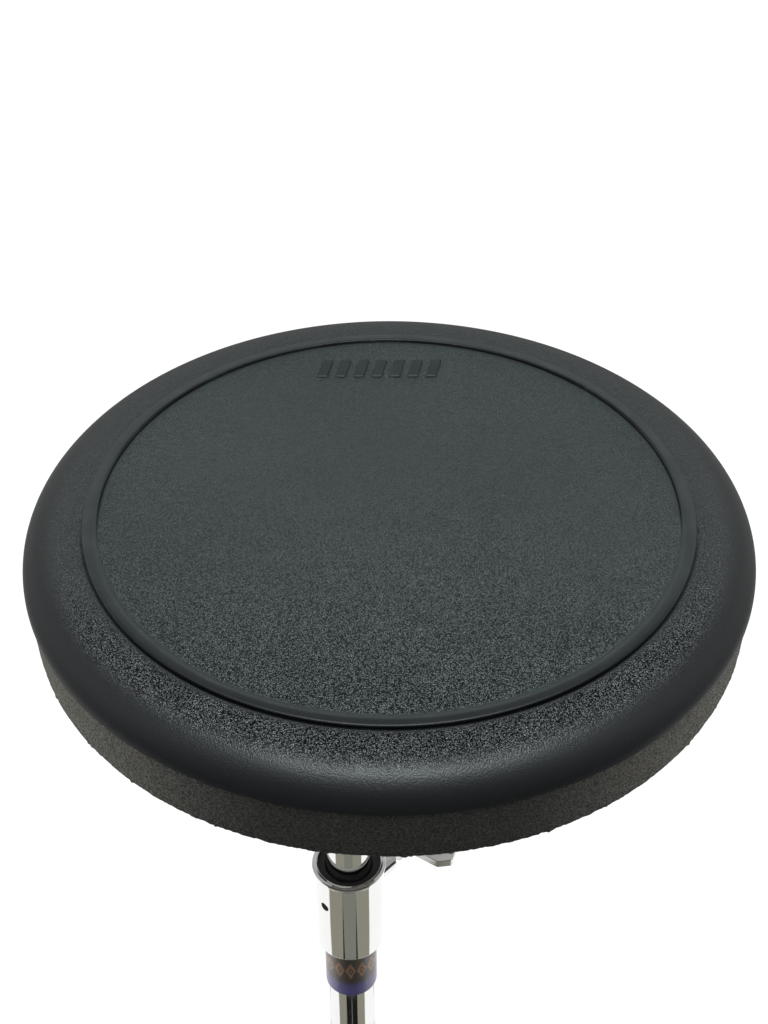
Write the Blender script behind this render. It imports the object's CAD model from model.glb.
"""A round rubber-covered playing pad on a chromed folding stand.

Metres, +Z up. The pad lies flat about its own vertical axis, and the stand's post is
vertical too. The camera stands on the -Y side and looks down towards +Y, so -Y is the front.
"""
import math

import bmesh
import bpy
from mathutils import Matrix, Vector, noise


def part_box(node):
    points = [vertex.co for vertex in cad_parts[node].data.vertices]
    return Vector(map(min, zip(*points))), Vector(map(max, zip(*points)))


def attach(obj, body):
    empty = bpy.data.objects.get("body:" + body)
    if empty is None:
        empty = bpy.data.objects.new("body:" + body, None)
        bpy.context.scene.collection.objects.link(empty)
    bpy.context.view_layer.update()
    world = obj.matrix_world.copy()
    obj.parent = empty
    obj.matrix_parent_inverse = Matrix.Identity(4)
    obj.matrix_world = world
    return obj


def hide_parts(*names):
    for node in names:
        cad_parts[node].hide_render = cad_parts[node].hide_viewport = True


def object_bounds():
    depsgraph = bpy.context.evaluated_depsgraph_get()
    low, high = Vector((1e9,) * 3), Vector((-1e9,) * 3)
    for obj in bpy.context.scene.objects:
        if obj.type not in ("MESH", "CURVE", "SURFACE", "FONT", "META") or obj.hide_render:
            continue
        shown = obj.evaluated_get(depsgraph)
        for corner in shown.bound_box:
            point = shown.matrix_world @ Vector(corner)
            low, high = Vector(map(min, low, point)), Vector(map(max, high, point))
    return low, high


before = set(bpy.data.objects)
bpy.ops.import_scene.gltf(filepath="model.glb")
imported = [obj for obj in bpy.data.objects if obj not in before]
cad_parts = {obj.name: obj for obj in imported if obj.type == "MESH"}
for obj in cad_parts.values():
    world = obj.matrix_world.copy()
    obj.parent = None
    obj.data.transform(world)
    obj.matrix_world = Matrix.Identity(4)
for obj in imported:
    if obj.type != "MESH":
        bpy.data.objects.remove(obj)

MM = 0.001
WHITE = (1.0, 1.0, 1.0)
scene = bpy.context.scene

# ------------------------------------------------------------------ driving dimensions
CAD_LO, CAD_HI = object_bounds()
FLOOR_Z = CAD_LO.z

cover_lo, cover_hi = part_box("rubber_cover")
board_lo, board_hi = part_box("base_board")
band_lo, band_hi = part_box("label_band")
tube_lo, tube_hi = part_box("base_tube")
FOAM_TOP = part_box("foam_core")[1].z

PAD_X = (cover_lo.x + cover_hi.x) / 2
PAD_Y = (cover_lo.y + cover_hi.y) / 2
PAD_R = (cover_hi.x - cover_lo.x) / 2
PAD_TOP = FOAM_TOP + 8.0 * MM       # playing surface, above the foam by the rubber's thickness
PAD_BOTTOM = cover_lo.z
POST_X = (tube_lo.x + tube_hi.x) / 2
POST_Y = (tube_lo.y + tube_hi.y) / 2


# ------------------------------------------------------------------ node helpers
def operator(operation, swap=False):
    """Makes an arithmetic method that adds a Math node."""
    def apply(self, other):
        pair = (other, self) if swap else (self, other)
        return self.graph.math(operation, *pair)
    return apply


class Signal:
    """An output socket; arithmetic on it adds nodes to its graph."""

    def __init__(self, graph, socket):
        self.graph = graph
        self.socket = socket

    __add__ = operator("ADD")
    __radd__ = operator("ADD", swap=True)
    __sub__ = operator("SUBTRACT")
    __rsub__ = operator("SUBTRACT", swap=True)
    __mul__ = operator("MULTIPLY")
    __truediv__ = operator("DIVIDE")
    maximum = operator("MAXIMUM")

    def __abs__(self):
        return self.graph.math("ABSOLUTE", self)

    def output(self, key):
        """Another output of the same node."""
        return Signal(self.graph, self.socket.node.outputs[key])

    def ramp(self, start, end, low=0.0, high=1.0):
        """Smooth step from low at start to high at end; start may be above end."""
        ends = {"Value": self, "From Min": start, "From Max": end, "To Min": low, "To Max": high}
        return self.graph.node("ShaderNodeMapRange", ends, interpolation_type="SMOOTHSTEP")

    def number(self, off, on):
        """Number that goes from off to on as this mask goes from 0 to 1."""
        return self.graph.node("ShaderNodeMix", {0: self, 2: off, 3: on}, data_type="FLOAT")

    def colour(self, off, on):
        """Colour that goes from off to on as this mask goes from 0 to 1."""
        return self.graph.node("ShaderNodeMix", {0: self, 6: off, 7: on}, output=2,
                               data_type="RGBA")

    def scaled(self, factor):
        return self.graph.node("ShaderNodeVectorMath", {0: self, "Scale": factor},
                               operation="SCALE")


class Graph:
    """The node tree of a new material or world."""

    PRINCIPLED = {
        "colour": "Base Color", "metal": "Metallic", "rough": "Roughness", "normal": "Normal",
        "spec": "Specular IOR Level", "tint": "Specular Tint", "coat": "Coat Weight",
        "coat_rough": "Coat Roughness",
    }

    def __init__(self, name, world=False):
        self.owner = (bpy.data.worlds if world else bpy.data.materials).new(name)
        self.owner.use_nodes = True
        self.tree = self.owner.node_tree
        self.tree.nodes.clear()
        kind = "ShaderNodeOutputWorld" if world else "ShaderNodeOutputMaterial"
        self.end = self.tree.nodes.new(kind)

    def put(self, socket, value):
        if isinstance(value, Signal):
            self.tree.links.new(value.socket, socket)
        elif socket.type == "RGBA":
            socket.default_value = (*value, 1.0)
        else:
            socket.default_value = value

    def node(self, kind, inputs=None, output=0, **settings):
        """Adds a node; inputs and output are keyed by socket name or index."""
        node = self.tree.nodes.new(kind)
        for key, value in settings.items():
            setattr(node, key, value)
        for key, value in (inputs or {}).items():
            self.put(node.inputs[key], value)
        return Signal(self, node.outputs[output])

    def finish(self, shader):
        self.put(self.end.inputs[0], shader)
        return self.owner

    def math(self, operation, *values):
        return self.node("ShaderNodeMath", dict(enumerate(values)), operation=operation)

    def vector(self, operation, first, second):
        return self.node("ShaderNodeVectorMath", {0: first, 1: second}, operation=operation)

    def length(self, x, y):
        return self.math("SQRT", x * x + y * y)

    def place(self, kind="Object"):
        return self.node("ShaderNodeTexCoord", output=kind)

    def split(self, vector):
        first = self.node("ShaderNodeSeparateXYZ", {0: vector})
        return [first.output(i) for i in range(3)]

    def join(self, x, y, z):
        return self.node("ShaderNodeCombineXYZ", {0: x, 1: y, 2: z})

    def noise(self, vector, scale, detail=2.0, rough=0.5, distortion=0.0):
        return self.node("ShaderNodeTexNoise", {
            "Vector": vector, "Scale": scale, "Detail": detail, "Roughness": rough,
            "Distortion": distortion})

    def cells(self, vector, scale, smoothness=None):
        """Distance to the nearest cell centre, softened if a smoothness is given."""
        inputs = {"Vector": vector, "Scale": scale, "Randomness": 1.0}
        feature = "F1"
        if smoothness is not None:
            inputs["Smoothness"] = smoothness
            feature = "SMOOTH_F1"
        return self.node("ShaderNodeTexVoronoi", inputs, output="Distance", feature=feature)

    def facing(self, blend):
        return self.node("ShaderNodeLayerWeight", {"Blend": blend}, output="Facing")

    def edges(self):
        return self.node("ShaderNodeNewGeometry", output="Pointiness")

    def camera_ray(self):
        return self.node("ShaderNodeLightPath", output="Is Camera Ray")

    def bevel(self, radius):
        return self.node("ShaderNodeBevel", {"Radius": radius}, samples=4)

    def bump(self, height, strength, distance, normal=None):
        inputs = {"Strength": strength, "Distance": distance, "Height": height}
        if normal is not None:
            inputs["Normal"] = normal
        return self.node("ShaderNodeBump", inputs)

    def emission(self, colour, strength):
        return self.node("ShaderNodeEmission", {"Color": colour, "Strength": strength})

    def mix_shader(self, factor, off, on):
        return self.node("ShaderNodeMixShader", {0: factor, 1: off, 2: on})

    def principled(self, **values):
        inputs = {self.PRINCIPLED[key]: value for key, value in values.items()}
        return self.node("ShaderNodeBsdfPrincipled", inputs)


# ------------------------------------------------------------------ materials
def rubber_pad():
    """Moulded cover: grained face, smooth bead, dark shoulder, sandy wall."""
    graph = Graph("pad_rubber_moulded")
    place = graph.place()
    x, y, z = graph.split(place)
    off_x = x - PAD_X
    off_y = y - PAD_Y
    radius = graph.length(off_x, off_y)
    height = z - PAD_TOP

    # zone masks, by radius and by height from the playing surface
    wobble = (graph.noise(place, scale=55, detail=3, rough=0.55) - 0.5) * 0.005
    near = (off_y * -1.0).ramp(-0.012, 0.035)       # front half
    inner_edge = near.number(0.0998, 0.1016)
    inside = (radius + wobble).ramp(inner_edge + 0.0012, inner_edge - 0.0022)
    outer_edge = near.number(0.1030, 0.1056)
    outer_fade = near.number(0.0026, 0.0009)
    outside = (radius + wobble * 0.4).ramp(outer_edge, outer_edge + outer_fade)
    face = inside.maximum(outside)                  # all but the bead
    shoulder = radius.ramp(0.1130, 0.1215)
    under = height.ramp(-0.0048, -0.0115)           # lower part of the shoulder
    on_wall = height.ramp(-0.0140, -0.0148)
    grained = face * (1.0 - on_wall * 1.0)
    grained = grained * shoulder.number(1.0, 0.13)
    # the grain reads stronger when looked at from above than along the surface
    steep = graph.facing(0.5).ramp(0.41, 0.25)

    # leather grain: soft irregular pebbles about half a millimetre across
    warp = graph.node("ShaderNodeTexNoise", {"Vector": place, "Scale": 600.0, "Detail": 2.0},
                      output="Color")
    shift = graph.vector("SUBTRACT", warp, (0.5, 0.5, 0.5)).scaled(0.0009)
    warped = graph.vector("ADD", place, shift)
    pebbles = graph.cells(warped, scale=1800, smoothness=0.35)
    small_pebbles = graph.cells(warped, scale=2900)
    crumbs = graph.noise(place, scale=2500, detail=2, rough=0.6)
    relief = (0.75 - pebbles) * 1.0 + (0.6 - small_pebbles) * 0.35 + crumbs * 0.5
    patch = graph.noise(place, scale=38, detail=3, rough=0.6).ramp(0.32, 0.7, low=0.62, high=1.12)
    relief = relief * (grained * patch)

    # wall: sandy, matt, with faint upright tool lines
    angle = graph.math("ARCTAN2", off_y, off_x)
    lines = graph.noise(graph.join(angle * 95.0, z * 60.0, 0.0), scale=1, detail=3, rough=0.7)
    sand = graph.noise(place, scale=1450, detail=3, rough=0.8)
    blotch = graph.noise(place, scale=620, detail=3, rough=0.6)
    wall_relief = on_wall * (sand + blotch * 0.9 + lines * 0.35)

    fine = graph.noise(place, scale=3400, detail=2, rough=0.5)
    normal = graph.bump(relief, strength=0.95, distance=0.00045)
    normal = graph.bump(wall_relief, strength=0.9, distance=0.00055, normal=normal)
    normal = graph.bump(fine, strength=0.12, distance=0.0001, normal=normal)

    # gain: light and dark specks that scale the face's colour and shine
    speck = graph.noise(warped, scale=3300, detail=1, rough=0.6) * 0.75
    speck = (speck + (0.75 - pebbles) * 0.35).ramp(0.42, 0.61)
    speck_zone = face * (1.0 - on_wall) * radius.ramp(0.1245, 0.1165)
    contrast = speck_zone * steep.number(0.08, 1.0)
    bright = radius.ramp(0.104, 0.107).number(2.7, 3.0)
    gain = contrast.number(1.0, speck.number(0.10, bright))
    gain = gain * radius.ramp(0.1040, 0.1065).number(1.20, 1.0)

    # face colour: cool grey-black, spotted, darker in the grain's lows, neutral past the bead
    broad = graph.noise(place, scale=9, detail=4, rough=0.6)
    spots = graph.noise(place, scale=900, detail=2, rough=0.7)
    top = broad.ramp(0.3, 0.7).colour((0.0130, 0.0185, 0.0188), (0.0190, 0.0258, 0.0255))
    top = (spots.ramp(0.46, 0.70) * 0.45).colour(top, (0.032, 0.042, 0.042))
    valley = pebbles.ramp(0.42, 0.80) * grained
    top = (valley * 0.45).colour(top, (0.0060, 0.0085, 0.0086))
    top = (radius.ramp(0.1045, 0.1065) * 0.75).colour(top, (0.0225, 0.0243, 0.0250))
    top = top.scaled(gain)
    bead = graph.noise(place, scale=120, detail=3).ramp(0.35, 0.7).colour(
        (0.0120, 0.0150, 0.0155), (0.0165, 0.0200, 0.0205))
    bead = bead.scaled(steep.number(1.30, 0.35))
    colour = face.colour(bead, top)

    # dirt held in the two creases of the bead
    crease_out = near * (radius.ramp(0.10530, 0.10550) * radius.ramp(0.10612, 0.10585))
    crease_in = (1.0 - near) * (radius.ramp(0.09998, 0.10015) * radius.ramp(0.10052, 0.10038))
    front = (off_y * -1.0).ramp(0.02, 0.09)
    crease = (crease_out * front.number(0.45, 0.9)).maximum(crease_in * 0.7)
    colour = crease.colour(colour, (0.0015, 0.0015, 0.0016))
    colour = (shoulder * 0.8).colour(colour, (0.0056, 0.0057, 0.0064))

    # wall colour: paler on the left and right, tool lines, dirt near the bottom
    wall = sand.ramp(0.40, 0.66).colour((0.0100, 0.0099, 0.0092), (0.0460, 0.0450, 0.0420))
    side = abs(off_x).ramp(0.03, 0.12)
    pale = sand.ramp(0.36, 0.66).colour((0.040, 0.039, 0.033), (0.285, 0.280, 0.240))
    wall = (side * 0.65).colour(wall, pale)
    wall = (lines.ramp(0.48, 0.75) * 0.30).colour(wall, (0.013, 0.012, 0.010))
    dirt = graph.noise(place, scale=70, detail=4, rough=0.7).ramp(0.5, 0.8)
    dirt = dirt * height.ramp(-0.026, -0.0345)
    wall = (dirt * 0.4).colour(wall, (0.008, 0.008, 0.007))
    colour = on_wall.colour(colour, wall)

    # shine, layered zone over zone
    rough = face.number(0.46, 0.45 + (spots - 0.5) * 0.25)
    spec = face.number(steep.number(0.41, 0.26), 0.40) * gain
    spec = spec * (1.0 - crease)
    for zone, zone_rough, zone_spec in (
            (shoulder, 0.40, 0.40), (under, 0.46, 0.13), (on_wall, 0.86, 0.20)):
        rough = zone.number(rough, zone_rough)
        spec = zone.number(spec, zone_spec)
    tint = on_wall.colour((0.90, 1.0, 1.0), WHITE)
    return graph.finish(graph.principled(
        colour=colour, rough=rough, normal=normal, spec=spec, tint=tint))


def metal(name, base, smeared, rough, rough_spread, grain, grain_depth, bevel, wear=0.0,
          streaks=False):
    """Plated metal; grain is its noise scale, wear brightens the edges, streaks run along Z."""
    graph = Graph(name)
    place = graph.place()
    smear = graph.noise(place, scale=26, detail=4, rough=0.65)
    fleck = graph.noise(place, scale=900, detail=2, rough=0.6).ramp(0.735, 0.78)
    if streaks:
        x, y, z = graph.split(place)
        stretched = graph.join(x * 1400.0, y * 1400.0, z * 70.0)
        hair = graph.noise(stretched, scale=1, detail=3, rough=0.7)
    else:
        hair = graph.noise(place, scale=1700, detail=3, rough=0.7)

    roughness = rough + smear.ramp(0.42, 0.75) * rough_spread
    roughness = roughness + hair.ramp(0.55, 0.75) * (rough_spread * 0.5)
    roughness = roughness + fleck * 0.18
    colour = (smear.ramp(0.35, 0.7) * 0.35).colour(base, smeared)
    colour = (fleck * 0.5).colour(colour, (0.18, 0.17, 0.15))
    if wear:
        colour = (graph.edges().ramp(0.54, 0.62) * wear).colour(colour, (0.85, 0.84, 0.80))

    surface = graph.noise(place, scale=grain, detail=3, rough=0.6)
    normal = graph.bump(surface, strength=grain_depth, distance=0.0002,
                        normal=graph.bevel(bevel))
    normal = graph.bump(hair, strength=0.02 if streaks else 0.015, distance=0.0001,
                        normal=normal)
    return graph.finish(graph.principled(
        colour=colour, metal=1.0, rough=roughness, normal=normal))


def lighter(colour, factor):
    return tuple(min(1.0, channel * factor) for channel in colour)


def plastic(name, dark, light, rough, grain, grain_depth, spec, bevel=0.0003, tint=WHITE):
    """Matt plastic or rubber with pale specks and paler edges; grain is its noise scale."""
    graph = Graph(name)
    place = graph.place()
    broad = graph.noise(place, scale=60, detail=3, rough=0.6)
    fine = graph.noise(place, scale=grain, detail=3, rough=0.7)
    colour = broad.ramp(0.35, 0.7).colour(dark, light)
    colour = (fine.ramp(0.62, 0.8) * 0.4).colour(colour, lighter(light, 2.2))
    colour = (graph.edges().ramp(0.53, 0.60) * 0.35).colour(colour, lighter(light, 3.0))
    normal = graph.bump(fine, strength=grain_depth, distance=0.0003, normal=graph.bevel(bevel))
    return graph.finish(graph.principled(
        colour=colour, rough=rough + (broad - 0.5) * 0.2, normal=normal, spec=spec, tint=tint))


def board():
    """Greyed plywood with its grain along X."""
    graph = Graph("base_board_wood")
    x, y, z = graph.split(graph.place())
    grain = graph.noise(graph.join(x * 9.0, y * 130.0, z * 60.0),
                        scale=1, detail=6, rough=0.65, distortion=1.2)
    rings = graph.noise(graph.join(x * 3.0, y * 26.0, 0.0),
                        scale=1, detail=3, rough=0.5, distortion=2.0)
    pores = graph.noise(graph.join(x * 120.0, y * 1800.0, 0.0), scale=1, detail=2, rough=0.6)
    ply = graph.math("PINGPONG", (z - board_lo.z) * 1.0, 0.0016)

    colour = grain.ramp(0.34, 0.68).colour((0.200, 0.196, 0.184), (0.300, 0.295, 0.280))
    colour = (rings.ramp(0.45, 0.62) * 0.35).colour(colour, (0.150, 0.146, 0.136))
    colour = (pores.ramp(0.62, 0.72) * 0.5).colour(colour, (0.070, 0.066, 0.060))
    colour = (ply.ramp(0.0, 0.0007) * 0.15).colour((0.10, 0.085, 0.07), colour)
    normal = graph.bump(grain, strength=0.25, distance=0.0004)
    normal = graph.bump(pores, strength=0.3, distance=0.0002, normal=normal)
    return graph.finish(graph.principled(
        colour=colour, rough=grain.number(0.45, 0.62), normal=normal, spec=0.35))


def foam():
    """Open grey cells."""
    graph = Graph("foam_core_cell")
    cells = graph.cells(graph.place(), scale=1300)
    colour = cells.ramp(0.2, 0.7).colour((0.20, 0.20, 0.19), (0.10, 0.10, 0.095))
    return graph.finish(graph.principled(
        colour=colour, rough=0.9, normal=graph.bump(cells, strength=0.7, distance=0.0005)))


def label():
    """Foil sticker: dark brown band, a plain lozenge frieze, violet lower border."""
    lozenges = 14               # round the post
    middle, half_height = 0.60, 0.20    # of the frieze, as shares of the band's height
    graph = Graph("label_foil")
    place = graph.place()
    x, y, z = graph.split(place)
    level = (z - band_lo.z) / (band_hi.z - band_lo.z)
    angle = graph.math("ARCTAN2", y - POST_Y, x - POST_X)
    turn = (angle + math.pi) * (lozenges / (2 * math.pi))
    across = abs(graph.math("FRACT", turn) - 0.5) * 2.0
    reach = across + abs(level - middle) / half_height      # 0 at the centre, 1 at the rim
    outline = reach.ramp(0.98, 0.88) * reach.ramp(0.40, 0.50)
    core = reach.ramp(0.26, 0.18)
    grain = graph.noise(place, scale=1500, detail=3, rough=0.7)
    wear = graph.noise(place, scale=240, detail=4, rough=0.7).ramp(0.36, 0.62)
    motif = outline.maximum(core) * wear.number(0.75, 1.0)

    ground = grain.ramp(0.3, 0.7).colour((0.022, 0.016, 0.012), (0.050, 0.037, 0.026))
    colour = motif.colour(ground, (0.235, 0.118, 0.060))
    top_line = level.ramp(0.86, 0.90) * level.ramp(0.935, 0.91)
    colour = top_line.colour(colour, (0.20, 0.11, 0.06))
    violet = grain.ramp(0.3, 0.7).colour((0.040, 0.032, 0.150), (0.062, 0.052, 0.205))
    colour = level.ramp(0.36, 0.20).colour(colour, violet)
    sheen = graph.facing(0.32).ramp(0.35, 0.95) * 0.40      # pale at grazing angles
    colour = sheen.colour(colour, (0.30, 0.29, 0.30))
    normal = graph.bump(grain, strength=0.06, distance=0.0001)
    normal = graph.bump(motif, strength=0.15, distance=0.00008, normal=normal)
    return graph.finish(graph.principled(
        colour=colour, metal=motif * 0.25, rough=0.34, normal=normal, spec=0.5,
        coat=0.25, coat_rough=0.18))


RUBBER = rubber_pad()
CHROME = metal("chrome_plate", base=(0.80, 0.80, 0.785), smeared=(0.74, 0.745, 0.73),
               rough=0.045, rough_spread=0.05, grain=60, grain_depth=0.010, bevel=0.00035,
               streaks=True)
CAST = metal("cast_chrome", base=(0.66, 0.66, 0.65), smeared=(0.58, 0.58, 0.565),
             rough=0.16, rough_spread=0.10, grain=420, grain_depth=0.12, bevel=0.0005, wear=0.25)
ZINC = metal("zinc_plate", base=(0.60, 0.60, 0.575), smeared=(0.56, 0.54, 0.47),
             rough=0.28, rough_spread=0.12, grain=700, grain_depth=0.10, bevel=0.0003, wear=0.2)
NYLON = plastic("black_nylon", dark=(0.0085, 0.009, 0.0095), light=(0.014, 0.0145, 0.015),
                rough=0.36, grain=1800, grain_depth=0.10, spec=0.45)
FOOT = plastic("foot_rubber", dark=(0.012, 0.012, 0.012), light=(0.022, 0.0215, 0.020),
               rough=0.62, grain=1200, grain_depth=0.35, spec=0.3, bevel=0.0006)
FIBRE = plastic("fibre_washer", dark=(0.16, 0.045, 0.025), light=(0.22, 0.07, 0.04),
                rough=0.6, grain=1500, grain_depth=0.3, spec=0.3)
BOARD = board()
FOAM = foam()
BADGE = plastic("badge_rubber", dark=(0.0105, 0.0140, 0.0142), light=(0.0150, 0.0195, 0.0195),
                rough=0.55, grain=1500, grain_depth=0.12, spec=0.34, tint=(0.86, 1.0, 1.0))
LABEL = label()

PIECES = (
    (CAST, ("mount_flange", "tilter_upper", "tilter_lower", "tilter_wing_nut",
            "clamp_wing_bolt", "collar_wing_bolt")),
    (ZINC, ("flange_screws", "lock_nut", "lock_washer", "threaded_stud", "tilter_bolt",
            "tilter_pin", "tilter_washer", "hub_rivet", "leg_pins", "brace_pins")),
    (NYLON, ("nylon_bush", "post_plug", "tube_cap")),
    (FIBRE, ("friction_washer",)),
    (BOARD, ("base_board",)),
    (FOAM, ("foam_core",)),
    (LABEL, ("label_band",)),
    (RUBBER, ("rubber_cover",)),
)
MATERIAL_OF = {name: material for material, names in PIECES for name in names}


def piece_material(name):
    if name.startswith("brace_rivets"):
        return ZINC
    if name.startswith("foot_"):
        return FOOT
    return MATERIAL_OF.get(name, CHROME)


for name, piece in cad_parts.items():
    piece.data.materials.clear()
    piece.data.materials.append(piece_material(name))


# ------------------------------------------------------------------ mesh helpers
def new_object(name, verts, faces, material, smooth=True):
    mesh = bpy.data.meshes.new(name)
    mesh.from_pydata(verts, [], faces)
    mesh.materials.append(material)
    mesh.validate()
    mesh.update()
    if smooth:
        mesh.shade_smooth()
    piece = bpy.data.objects.new(name, mesh)
    scene.collection.objects.link(piece)
    return piece


def open_bmesh(mesh):
    bm = bmesh.new()
    bm.from_mesh(mesh)
    return bm


def close_bmesh(bm, mesh):
    """Turns the faces outward and writes the mesh back."""
    bmesh.ops.recalc_face_normals(bm, faces=bm.faces)
    bm.to_mesh(mesh)
    bm.free()
    mesh.shade_smooth()


def quads_between(start, other, count):
    """Closed band of quads between two rings of vertices."""
    return [(start + i, start + (i + 1) % count, other + (i + 1) % count, other + i)
            for i in range(count)]


def clamp(value):
    return min(1.0, max(0.0, value))


def smoothstep(value):
    return value * value * (3 - 2 * value)


# ------------------------------------------------------------------ rubber cover
COVER_SEGMENTS = 900
AXIS_HOLE = 0.4     # mm, radius of the hole that is closed afterwards
BEAD_HEIGHT = 1.10  # mm

# flat playing face: radii, mm
FACE_RADII = (AXIS_HOLE, 4, 12, 25, 40, 55, 70, 82, 90, 95, 98, 99.4)
# bead, with a crease at its inner foot and a step at its outer foot:
# radius, height from the playing surface, mm
BEAD = (
    (99.80, 0.0), (100.02, -0.08), (100.18, -0.42), (100.36, -0.45), (100.46, 0.45),
    (100.56, 0.88), (100.8, 1.05), (101.4, 1.09), (102.2, 1.10), (103.2, 1.10),
    (104.1, 1.10), (104.8, 1.07), (105.15, 0.96), (105.38, 0.70), (105.5, 0.10),
    (105.60, -0.35), (105.85, -0.45), (106.2, -0.15), (106.7, 0.0),
)
# shoulder: a quarter ellipse
SHOULDER_START = 108.1 * MM
SHOULDER_DROP = 14.0 * MM
SHOULDER_STEPS = 28
# parting line and wall: radius from the pad's, height from the shoulder's foot, mm
WALL = (
    (-0.05, -0.35), (-0.40, -0.62), (-0.62, -0.90), (-0.62, -1.5), (-0.68, -3.0),
    (-0.86, -6.0), (-1.04, -9.0), (-1.22, -12.0), (-1.40, -15.0), (-1.58, -18.0),
)
# bottom lip: radius from the pad's, height from the cover's bottom, mm
LIP = ((-1.75, 0.9), (-1.9, 0.35), (-2.3, 0.1), (-4.0, 0.1), (-6.4, 0.2), (-7.3, 0.8))

# where the wall, lip and cavity begin in the section
WALL_START = len(FACE_RADII) + len(BEAD) + SHOULDER_STEPS + 1
LIP_START = WALL_START + len(WALL)
CAVITY_START = LIP_START + len(LIP)


def cover_section():
    """Half section (radius, z) from the axis outwards, down, and back inside."""
    section = [(radius * MM, PAD_TOP) for radius in FACE_RADII]
    section += [(radius * MM, PAD_TOP + rise * MM) for radius, rise in BEAD]
    for k in range(SHOULDER_STEPS + 1):
        angle = k / SHOULDER_STEPS * math.pi / 2
        section.append((SHOULDER_START + (PAD_R - SHOULDER_START) * math.sin(angle),
                        PAD_TOP - SHOULDER_DROP * (1 - math.cos(angle))))
    foot = PAD_TOP - SHOULDER_DROP
    section += [(PAD_R + out * MM, foot + rise * MM) for out, rise in WALL]
    section += [(PAD_R + out * MM, PAD_BOTTOM + rise * MM) for out, rise in LIP]
    # cavity, just clear of the board and the foam
    cavity = board_hi.x - PAD_X + 0.12 * MM
    roof = FOAM_TOP + 0.02 * MM
    section += [(cavity, PAD_BOTTOM + 3.0 * MM), (cavity, board_lo.z + 5 * MM), (cavity, roof)]
    section += [(cavity * 0.66, roof), (cavity * 0.33, roof), (AXIS_HOLE * MM, roof)]
    return section


def wave(x, y, scale, level):
    return noise.noise(Vector((x * scale, y * scale, level)))


def shape_top(cos, sin, radius, z):
    """The front keeps the crisp outer step, the rest the crisp inner crease."""
    if 0.0995 < radius < 0.1066:
        front = smoothstep(clamp((-sin + 0.02) / 0.26))
        if radius > 0.1030:
            soft = BEAD_HEIGHT * (1 - smoothstep(clamp((radius - 0.1030) / 0.0034)))
            weight = 1 - front
        else:
            soft = BEAD_HEIGHT * smoothstep(clamp((radius - 0.0995) / 0.0026))
            weight = front
        z = z * (1 - weight) + (PAD_TOP + soft * MM) * weight
    return radius, z + 0.10 * MM * wave(cos * radius, sin * radius, 22, 7.7)


def shape_wall(cos, sin, i, radius, z):
    """Shallow waviness, and a trimmed bottom edge with nicks and burrs."""
    radius += 0.22 * MM * wave(cos, sin, 2.2, 3.0)
    if i >= LIP_START - 1:
        amount = clamp((i - (LIP_START - 2)) / 2.0)
        coarse = wave(cos, sin, 38, 1.3)
        medium = wave(cos, sin, 120, 5.1)
        fine = wave(cos, sin, 260, 2.2)
        burr = max(0.0, wave(cos, sin, 30, 9.4) - 0.12) * max(0.0, medium + 0.05)
        z += amount * MM * (0.34 * coarse + 0.42 * medium + 0.55 * fine) - amount * burr * 3.0 * MM
        radius += amount * MM * (0.20 * medium + 0.12 * fine) + amount * burr * 1.8 * MM
    return min(radius, PAD_R), z


def cover_point(cos, sin, i, radius, z):
    if radius < 0.001 or i >= CAVITY_START:
        return radius, z
    if i < WALL_START:
        return shape_top(cos, sin, radius, z)
    return shape_wall(cos, sin, i, radius, z)


def rubber_cover():
    section = cover_section()
    count = len(section)
    verts, faces = [], []
    for s in range(COVER_SEGMENTS):
        angle = 2 * math.pi * s / COVER_SEGMENTS
        cos, sin = math.cos(angle), math.sin(angle)
        for i, (radius, z) in enumerate(section):
            radius, z = cover_point(cos, sin, i, radius, z)
            verts.append((PAD_X + radius * cos, PAD_Y + radius * sin, z))
    for s in range(COVER_SEGMENTS):
        t = (s + 1) % COVER_SEGMENTS
        for i in range(count):
            j = (i + 1) % count
            faces.append((s * count + i, t * count + i, t * count + j, s * count + j))
    cover = new_object("rubber_cover_skin", verts, faces, RUBBER)

    # close the two holes at the axis
    bm = open_bmesh(cover.data)
    bm.verts.ensure_lookup_table()
    bm.faces.new([bm.verts[s * count] for s in range(COVER_SEGMENTS)])
    bm.faces.new([bm.verts[s * count + count - 1] for s in range(COVER_SEGMENTS)][::-1])
    # the section is an open strip, so drop the band that joins its two ends
    axis = Vector((PAD_X, PAD_Y))
    band = [face for face in bm.faces if len(face.verts) == 4
            and max((vert.co.xy - axis).length for vert in face.verts) < 0.5 * MM]
    bmesh.ops.delete(bm, geom=band, context="FACES_ONLY")
    close_bmesh(bm, cover.data)
    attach(cover, "pad")
    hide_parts("rubber_cover")


rubber_cover()

# ------------------------------------------------------------------ badge: raised slanted bars
BADGE_X = PAD_X - 3.3 * MM
BADGE_Y = PAD_Y + 81.9 * MM
BAR_PITCH = 6.9 * MM
BAR_HEIGHT = 0.80 * MM
BAR_ROUNDING = 0.6 * MM
# corners of a bar from its own centre: x, y, mm
BAR = ((-3.1, -5.6), (0.9, -5.6), (3.1, 5.6), (-0.9, 5.6))
# rings up a bar: share of the way in to the centre, share of the height
BAR_RINGS = ((0.0, -0.35), (0.0, 0.45), (0.06, 0.80), (0.18, 0.97), (0.40, 1.02))


def rounded(corners, radius, steps=6):
    """Rounds the corners of a convex polygon (points in order)."""
    points = []
    for i in range(len(corners)):
        corner = Vector(corners[i])
        before = (Vector(corners[i - 1]) - corner).normalized() * radius
        after = (Vector(corners[(i + 1) % len(corners)]) - corner).normalized() * radius
        for s in range(steps + 1):
            t = s / steps
            point = ((corner + before) * (1 - t) ** 2 + corner * 2 * t * (1 - t)
                     + (corner + after) * t ** 2)
            points.append((point.x, point.y))
    return points


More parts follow.
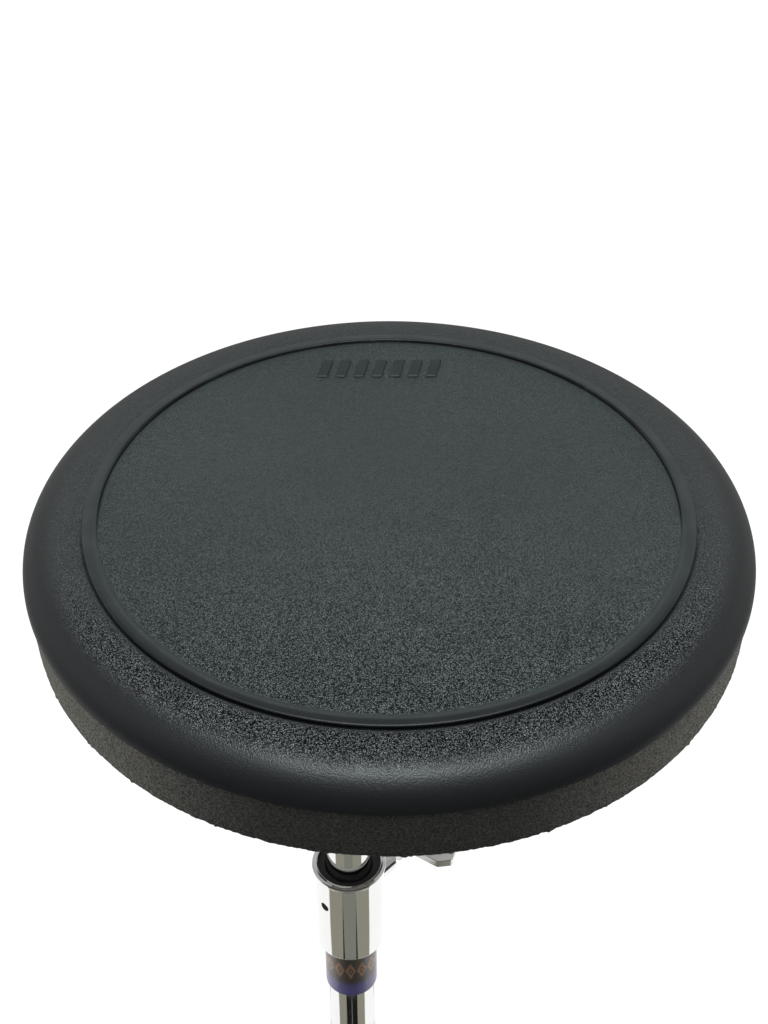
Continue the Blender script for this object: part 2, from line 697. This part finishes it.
def badge_bar(name, outline):
    """Raised solid with softened upper edges."""
    count = len(outline)
    mid_x = sum(x for x, y in outline) / count
    mid_y = sum(y for x, y in outline) / count
    verts = [(x + (mid_x - x) * inset, y + (mid_y - y) * inset, PAD_TOP + BAR_HEIGHT * rise)
             for inset, rise in BAR_RINGS for x, y in outline]
    last = (len(BAR_RINGS) - 1) * count
    faces = []
    for start in range(0, last, count):
        faces += quads_between(start, start + count, count)
    faces.append(tuple(range(last, last + count)))
    faces.append(tuple(range(count))[::-1])
    bar = new_object(name, verts, faces, BADGE)
    close_bmesh(open_bmesh(bar.data), bar.data)
    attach(bar, "pad")


for i in range(-3, 4):
    bar_x = BADGE_X + BAR_PITCH * i
    corners = [(bar_x + x * MM, BADGE_Y + y * MM) for x, y in BAR]
    badge_bar("badge_bar_%d" % (i + 4), rounded(corners, BAR_ROUNDING))


# ------------------------------------------------------------------ threaded stud
def threaded_stud():
    """Stud with a real helix, its thread running out at both ends."""
    pitch, depth = 1.25 * MM, 0.62 * MM
    segments = 48
    lo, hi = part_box("threaded_stud")
    mid_x, mid_y, outer = (lo.x + hi.x) / 2, (lo.y + hi.y) / 2, (hi.x - lo.x) / 2
    rows = int((hi.z - lo.z) / (pitch / 7))
    verts, faces = [], []
    for k in range(rows + 1):
        z = lo.z + (hi.z - lo.z) * k / rows
        chamfer = outer - 0.9 * MM + min(z - lo.z, hi.z - z)
        for s in range(segments):
            angle = 2 * math.pi * s / segments
            phase = (z / pitch - s / segments) % 1.0
            groove = clamp(abs(2 * phase - 1.0) * 1.3 - 0.15)
            radius = min(outer - depth * groove, chamfer)
            verts.append((mid_x + radius * math.cos(angle), mid_y + radius * math.sin(angle), z))
    for k in range(rows):
        ring = quads_between(k * segments, (k + 1) * segments, segments)
        faces += ring
    faces.append(tuple(range(segments))[::-1])
    faces.append(tuple(rows * segments + s for s in range(segments)))
    stud = new_object("threaded_stud_helix", verts, faces, ZINC)
    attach(stud, "tilt_head")
    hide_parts("threaded_stud")


threaded_stud()


# ------------------------------------------------------------------ stage
def stage_plane(name, half, z, material, x=0.0, y=0.0):
    corners = [(x - half, y - half, z), (x + half, y - half, z),
               (x + half, y + half, z), (x - half, y + half, z)]
    plane = new_object(name, corners, [(0, 1, 2, 3)], material, smooth=False)
    return plane


def floor_material():
    """White floor that glows to the camera and, fading outwards, in reflections."""
    graph = Graph("studio_floor")
    place = graph.place()
    white = graph.noise(place, scale=1.2, detail=3).ramp(0.3, 0.7).colour(
        (0.90, 0.90, 0.90), (0.93, 0.93, 0.93))
    matt = graph.principled(colour=white, rough=0.85, spec=0.2)
    x, y, _ = graph.split(place)
    reflected = graph.length(x, y).ramp(0.55, 1.5, low=1.15, high=0.42)
    glow = graph.emission(WHITE, strength=graph.camera_ray().number(reflected, 1.12))
    camera_ray = graph.camera_ray()
    share = camera_ray * 0.80 + camera_ray.output("Is Glossy Ray") * 0.97
    return graph.finish(graph.mix_shader(share, matt, glow))


def card_material():
    """Grey sectors about the post, by radius and by angle in degrees from -Y."""
    graph = Graph("reflection_card")
    x, y, _ = graph.split(graph.place())
    x, y = x - POST_X, y - POST_Y
    radius = graph.length(x, y)
    angle = abs(graph.math("ARCTAN2", x, y * -1.0)) * (180.0 / math.pi)

    # front sector: a middle wedge, a dark line along its edge, black close in
    wedge = angle.ramp(21.5, 20.0)
    line_width = radius.ramp(0.37, 0.27, low=0.4, high=3.6)
    line = abs(angle - 21.5).ramp(line_width, line_width - 0.35) * radius.ramp(0.40, 0.33)
    black = angle.ramp(20.5, 18.5) * radius.ramp(0.272, 0.262)
    colour = wedge.colour((0.300, 0.294, 0.240), (0.222, 0.232, 0.200))
    colour = line.colour(colour, (0.014, 0.015, 0.010))
    colour = black.colour(colour, (0.010, 0.010, 0.010))
    colour = radius.ramp(0.42, 0.50).colour(colour, (0.045, 0.045, 0.048))
    limit = radius.ramp(0.25, 0.33, low=60.0, high=66.5)
    limit = limit + radius.ramp(0.42, 0.60, low=0.0, high=12.0)
    covered = angle.ramp(limit + 2.0, limit) * radius.ramp(3.0, 2.4)
    covered = covered * radius.ramp(0.03, 0.05)

    # rear sector with a dark line
    rear = angle.ramp(157.0, 160.0)
    rear_line = angle.ramp(168.0, 167.0) * angle.ramp(162.0, 163.0)
    colour = rear.colour(colour, rear_line.colour((0.200, 0.205, 0.190), (0.020, 0.020, 0.018)))
    covered = covered.maximum(rear * radius.ramp(0.55, 0.75) * radius.ramp(3.0, 2.4))
    clear = graph.node("ShaderNodeBsdfTransparent")
    return graph.finish(graph.mix_shader(covered, clear, graph.emission(colour, strength=1.0)))


stage_plane("floor", 6.0, FLOOR_Z - 0.0005, floor_material())

# seen only in reflections
card = stage_plane("reflection_card", 3.2, FLOOR_Z + 0.0005, card_material(), POST_X, POST_Y)
card.visible_camera = False
card.visible_diffuse = False
card.visible_shadow = False
card.visible_transmission = False


def studio_world():
    """Grey surround, dark at the low front and lighter high at the back; white to the camera."""
    graph = Graph("studio_world", world=True)
    x, y, z = graph.split(graph.place("Generated"))
    front = (y * -1.0).ramp(0.10, 0.70) * z.ramp(0.80, 0.35)
    sides = abs(x).ramp(0.55, 0.9) * z.ramp(0.7, 0.2)
    level = z.ramp(0.45, 0.95).number(0.45, 0.40)
    level = level + y.ramp(0.35, 0.85) * z.ramp(0.25, 0.5) * 0.17
    level = sides.number(level, 0.45)
    level = level * (1.0 - front * 0.86)
    level = graph.camera_ray().number(level, 1.0)
    return graph.finish(graph.node("ShaderNodeBackground", {"Color": WHITE, "Strength": level}))


scene.world = studio_world()


# ------------------------------------------------------------------ lights
def area_light(name, place, target, width, depth, power):
    """Rectangle light; place and target are measured from the post's foot."""
    light = bpy.data.lights.new(name, "AREA")
    light.shape = "RECTANGLE"
    light.size = width
    light.size_y = depth
    light.energy = power
    lamp = bpy.data.objects.new(name, light)
    scene.collection.objects.link(lamp)
    lamp.location = Vector((POST_X, POST_Y, FLOOR_Z)) + Vector(place)
    lamp.rotation_mode = "QUATERNION"
    lamp.rotation_quaternion = (Vector(target) - Vector(place)).to_track_quat("-Z", "Y")
    return lamp


area_light("overhead_soft", place=(0.05, -0.50, 2.3), target=(0.0, 0.0, 0.6),
           width=1.10, depth=0.60, power=37.0)
for name, side_x, power in (("left_soft", -1.7, 15.0), ("right_soft", 1.7, 8.5)):
    lamp = area_light(name, place=(side_x, 0.0, 0.85), target=(0.0, 0.0, 0.55),
                      width=0.9, depth=0.9, power=power)
    lamp.visible_glossy = False

# ------------------------------------------------------------------ camera
LENS = 59.765625                # mm, on a 36 mm sensor
ELEVATION = math.radians(39.57)
ROLL = math.radians(0.216)
DISTANCE = 0.5882               # to the centre of the playing surface, along the view
CENTRE_RIGHT = 0.00173          # that centre's offset from the view axis
CENTRE_UP = 0.0026296

forward = Vector((0, math.cos(ELEVATION), -math.sin(ELEVATION)))
level_up = Vector((0, math.sin(ELEVATION), math.cos(ELEVATION)))
level_right = Vector((1, 0, 0))
right = level_right * math.cos(ROLL) - level_up * math.sin(ROLL)
up = level_right * math.sin(ROLL) + level_up * math.cos(ROLL)

lens = bpy.data.cameras.new("camera")
lens.sensor_width = 36.0
lens.sensor_fit = "AUTO"
lens.lens = LENS
lens.clip_start = 0.01
lens.clip_end = 50.0
camera = bpy.data.objects.new("camera", lens)
scene.collection.objects.link(camera)
camera.rotation_mode = "QUATERNION"
camera.rotation_quaternion = Matrix((right, up, -forward)).transposed().to_quaternion()
camera.location = Vector((PAD_X, PAD_Y, PAD_TOP)) - (
    right * CENTRE_RIGHT + up * CENTRE_UP + forward * DISTANCE)
scene.camera = camera

scene.view_settings.view_transform = "Standard"
scene.view_settings.look = "None"
scene.view_settings.exposure = 0.0
